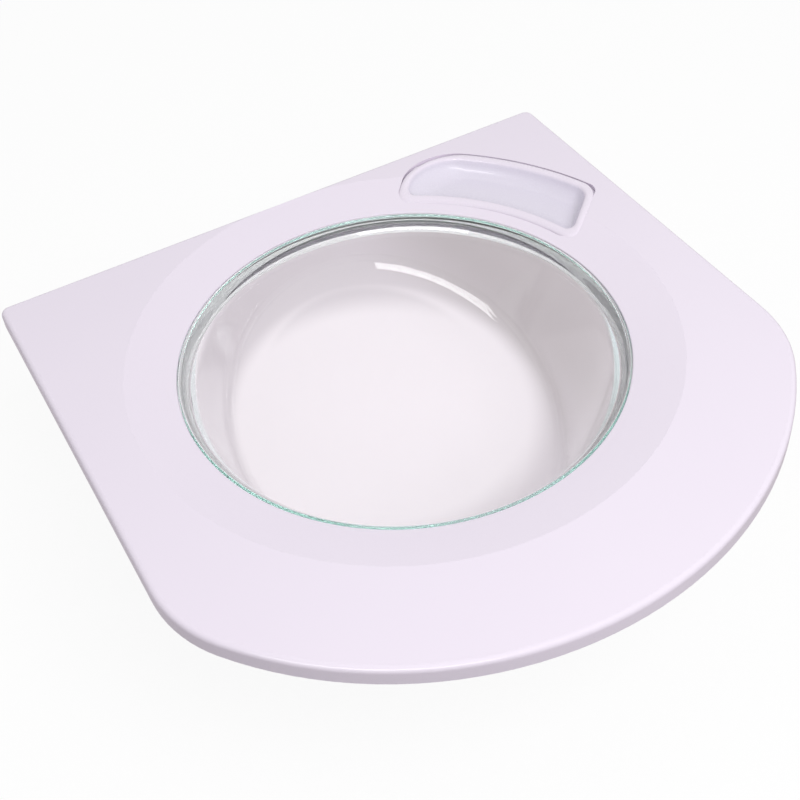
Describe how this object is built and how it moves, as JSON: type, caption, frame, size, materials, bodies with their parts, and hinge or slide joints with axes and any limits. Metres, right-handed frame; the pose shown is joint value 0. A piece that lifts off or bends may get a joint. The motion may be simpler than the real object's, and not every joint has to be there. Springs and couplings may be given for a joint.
{
  "type": "washing machine door",
  "caption": "White front-loader door: moulded cover with a straight top edge, round pressed glass bowl, recessed finger grip, sprung latch hook and hinge bracket.",
  "frame": {"origin": "on the axis of the round glass opening, in the plane that the hinge bracket's plate bolts to", "axes": "+Z out of the front face along the glass axis, +Y to the straight top edge, +X to the side with the finger grip and the latch; the hinge is at -X"},
  "size_m": [0.473, 0.4697, 0.1645],
  "materials": {
    "cover_plastic": "satin white",
    "cup_plastic": "satin white",
    "bowl_glass": "clear",
    "seal_rubber": "matte",
    "frame_plastic": "fine grain",
    "screw_steel": "zinc plated",
    "leaf_steel": "zinc plated",
    "bush_plastic": "smooth",
    "hook_metal": "as cast",
    "pin_steel": "ground",
    "bracket_metal": "as cast"
  },
  "bodies": {
    "bracket": {"hinge_bracket": "bracket_metal", "hinge_pin": "pin_steel", "pin_clip": "pin_steel"},
    "door": {"front_panel": "cover_plastic", "handle_cup": "cup_plastic", "door_glass": "bowl_glass", "glass_seal": "seal_rubber", "inner_frame": "frame_plastic", "frame_screws": "screw_steel", "leaf_screws": "screw_steel", "latch_screws": "screw_steel", "handle_screws": "screw_steel", "hinge_leaf": "leaf_steel", "upper_bush": "bush_plastic", "lower_bush": "bush_plastic", "latch_plate": "leaf_steel", "latch_pin": "pin_steel", "latch_spring": "pin_steel"},
    "hook": {"latch_hook": "hook_metal"}
  },
  "joints": [
    {"name": "door_swing", "type": "hinge", "parent": "bracket", "child": "door", "pos_m": [-0.2205, 0, 0.026], "axis": [0, -1, 0], "range_deg": [0, 150]},
    {"name": "latch_pivot", "type": "hinge", "parent": "door", "child": "hook", "pos_m": [0.198, 0, 0.023], "axis": [0, 1, 0], "range_deg": [0, 12], "stiffness_Nm_per_rad": 1.2, "springref_deg": -11.46}
  ]
}
